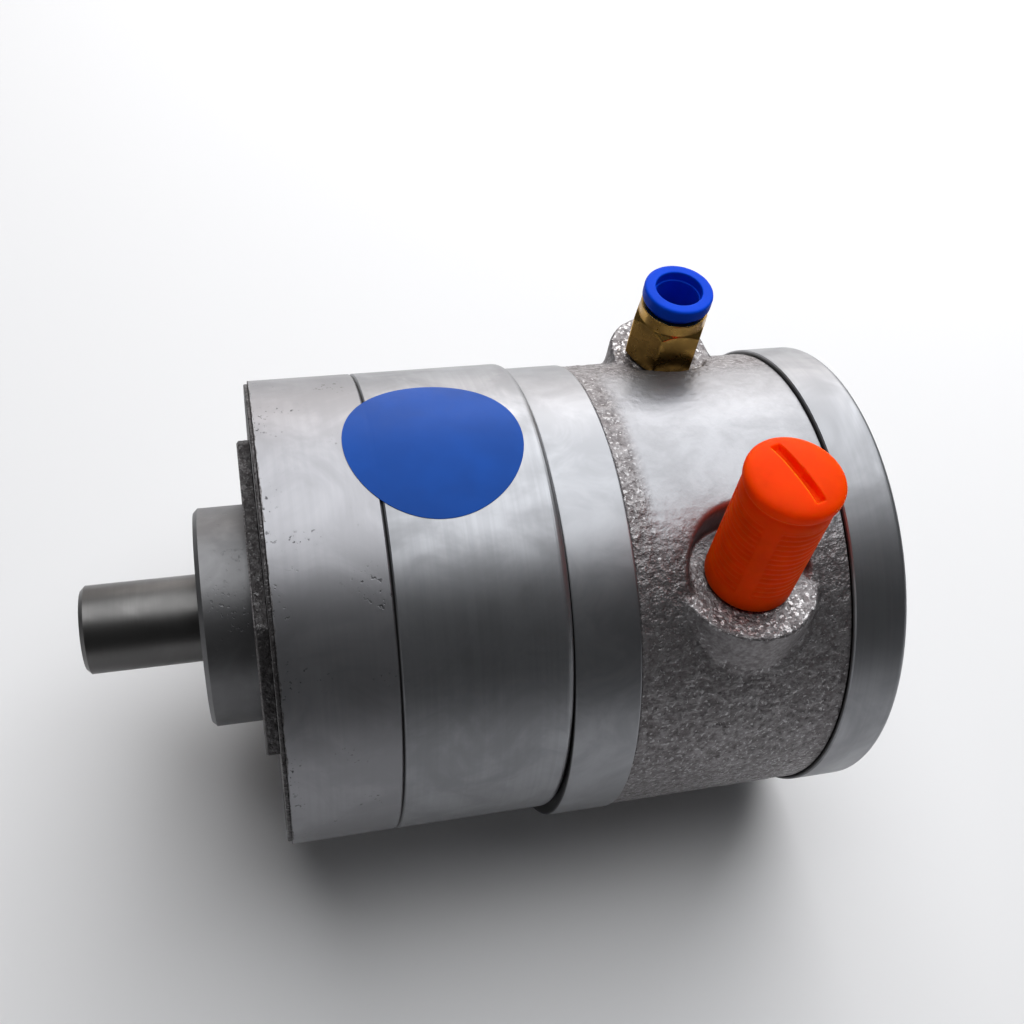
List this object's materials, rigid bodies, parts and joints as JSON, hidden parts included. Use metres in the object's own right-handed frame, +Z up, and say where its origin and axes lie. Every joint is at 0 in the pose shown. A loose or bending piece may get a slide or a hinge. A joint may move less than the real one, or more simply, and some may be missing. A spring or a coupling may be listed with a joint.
{
  "type": "air vane motor",
  "caption": "Round face-mounted air vane motor with a planetary reduction, plain output shaft, push-in air inlet and plastic exhaust muffler.",
  "frame": {"origin": "centre of the front mounting pad, on the output shaft axis", "axes": "-X along the output shaft, out of the motor; +Z up along the two air ports"},
  "size_m": [0.1745, 0.109, 0.1323],
  "materials": {
    "bearing_steel": "polished bearing steel",
    "black_bolts": "blackened steel",
    "black_rubber": "black rubber",
    "blue_plastic": "moulded blue plastic",
    "blue_sticker": "glossy film",
    "bush_bronze": "bearing bronze",
    "fitting_brass": "turned brass",
    "gear_steel": "hobbed steel",
    "ground_steel": "ground steel",
    "liner_iron": "honed grey iron",
    "orange_plastic": "moulded orange plastic",
    "plate_iron": "ground grey iron",
    "porous_plastic": "porous white plastic",
    "rotor_steel": "turned steel",
    "rough_casting": "sand cast aluminium, pebbled",
    "satin_turned": "satin turned aluminium",
    "shaft_steel": "turned steel",
    "spring_steel": "spring steel",
    "turned_cap": "satin turned aluminium",
    "turned_casting": "turned cast aluminium with small pits",
    "vane_composite": "laminated fabric composite"
  },
  "bodies": {
    "housing": {"front_cover": "turned_casting", "gear_housing": "satin_turned", "motor_housing": "rough_casting", "rear_cap": "turned_cap", "cylinder_liner": "liner_iron", "front_end_plate": "plate_iron", "rear_end_plate": "plate_iron", "tie_bolts": "black_bolts", "cap_screws": "black_bolts", "cover_o_ring": "black_rubber", "gear_o_ring": "black_rubber", "cap_o_ring": "black_rubber", "shaft_seal": "black_rubber", "bearing_spacer": "ground_steel", "bearing_clip": "spring_steel", "output_bearing_1_outer": "bearing_steel", "output_bearing_2_outer": "bearing_steel", "rotor_bearing_1_outer": "bearing_steel", "rotor_bearing_2_outer": "bearing_steel", "inlet_fitting": "fitting_brass", "grab_ring": "spring_steel", "tube_seal": "black_rubber", "muffler": "orange_plastic", "muffler_element": "porous_plastic", "sticker": "blue_sticker"},
    "output": {"output_carrier": "shaft_steel", "planet_pins": "ground_steel", "output_bearing_1_inner": "bearing_steel", "output_bearing_2_inner": "bearing_steel"},
    "rotor": {"sun_gear": "gear_steel", "sun_key": "ground_steel", "sun_clip": "spring_steel", "rotor": "rotor_steel", "vane_1": "vane_composite", "vane_2": "vane_composite", "vane_3": "vane_composite", "vane_4": "vane_composite", "vane_5": "vane_composite", "vane_6": "vane_composite", "rotor_bearing_1_inner": "bearing_steel", "rotor_bearing_2_inner": "bearing_steel"},
    "planet_1": {"planet_1": "gear_steel", "planet_bush_1": "bush_bronze"},
    "planet_2": {"planet_2": "gear_steel", "planet_bush_2": "bush_bronze"},
    "planet_3": {"planet_3": "gear_steel", "planet_bush_3": "bush_bronze"},
    "output_balls_1": {"output_bearing_1_balls": "bearing_steel"},
    "output_balls_2": {"output_bearing_2_balls": "bearing_steel"},
    "rotor_balls_1": {"rotor_bearing_1_balls": "bearing_steel"},
    "rotor_balls_2": {"rotor_bearing_2_balls": "bearing_steel"},
    "collet": {"release_collet": "blue_plastic"}
  },
  "joints": [
    {"name": "output_spin", "type": "hinge", "parent": "housing", "child": "output", "pos_m": [0, 0, 0], "axis": [1, 0, 0], "continuous": true},
    {"name": "rotor_spin", "type": "hinge", "parent": "housing", "child": "rotor", "pos_m": [0.09, 0, 0], "axis": [1, 0, 0], "continuous": true},
    {"name": "planet_1_spin", "type": "hinge", "parent": "output", "child": "planet_1", "pos_m": [0.045, 0, 0.02438], "axis": [1, 0, 0], "continuous": true},
    {"name": "planet_2_spin", "type": "hinge", "parent": "output", "child": "planet_2", "pos_m": [0.045, -0.02111, -0.01219], "axis": [1, 0, 0], "continuous": true},
    {"name": "planet_3_spin", "type": "hinge", "parent": "output", "child": "planet_3", "pos_m": [0.045, 0.02111, -0.01219], "axis": [1, 0, 0], "continuous": true},
    {"name": "output_balls_1_spin", "type": "hinge", "parent": "housing", "child": "output_balls_1", "pos_m": [0.004, 0, 0], "axis": [1, 0, 0], "continuous": true},
    {"name": "output_balls_2_spin", "type": "hinge", "parent": "housing", "child": "output_balls_2", "pos_m": [0.018, 0, 0], "axis": [1, 0, 0], "continuous": true},
    {"name": "rotor_balls_1_spin", "type": "hinge", "parent": "housing", "child": "rotor_balls_1", "pos_m": [0.068, 0, 0], "axis": [1, 0, 0], "continuous": true},
    {"name": "rotor_balls_2_spin", "type": "hinge", "parent": "housing", "child": "rotor_balls_2", "pos_m": [0.119, 0, 0], "axis": [1, 0, 0], "continuous": true},
    {"name": "collet_press", "type": "slide", "parent": "housing", "child": "collet", "axis": [0, 0, -1], "range_m": [0, 0.0012], "stiffness_N_per_m": 2000}
  ],
  "couplings": [
    {"joint": "rotor_spin", "follows": "output_spin", "ratio": 4.3333},
    {"joint": "planet_1_spin", "follows": "output_spin", "ratio": -2.8571},
    {"joint": "planet_2_spin", "follows": "output_spin", "ratio": -2.8571},
    {"joint": "planet_3_spin", "follows": "output_spin", "ratio": -2.8571},
    {"joint": "output_balls_1_spin", "follows": "output_spin", "ratio": 0.3968},
    {"joint": "output_balls_2_spin", "follows": "output_spin", "ratio": 0.3968},
    {"joint": "rotor_balls_1_spin", "follows": "output_spin", "ratio": 1.6467},
    {"joint": "rotor_balls_2_spin", "follows": "output_spin", "ratio": 1.6467}
  ]
}
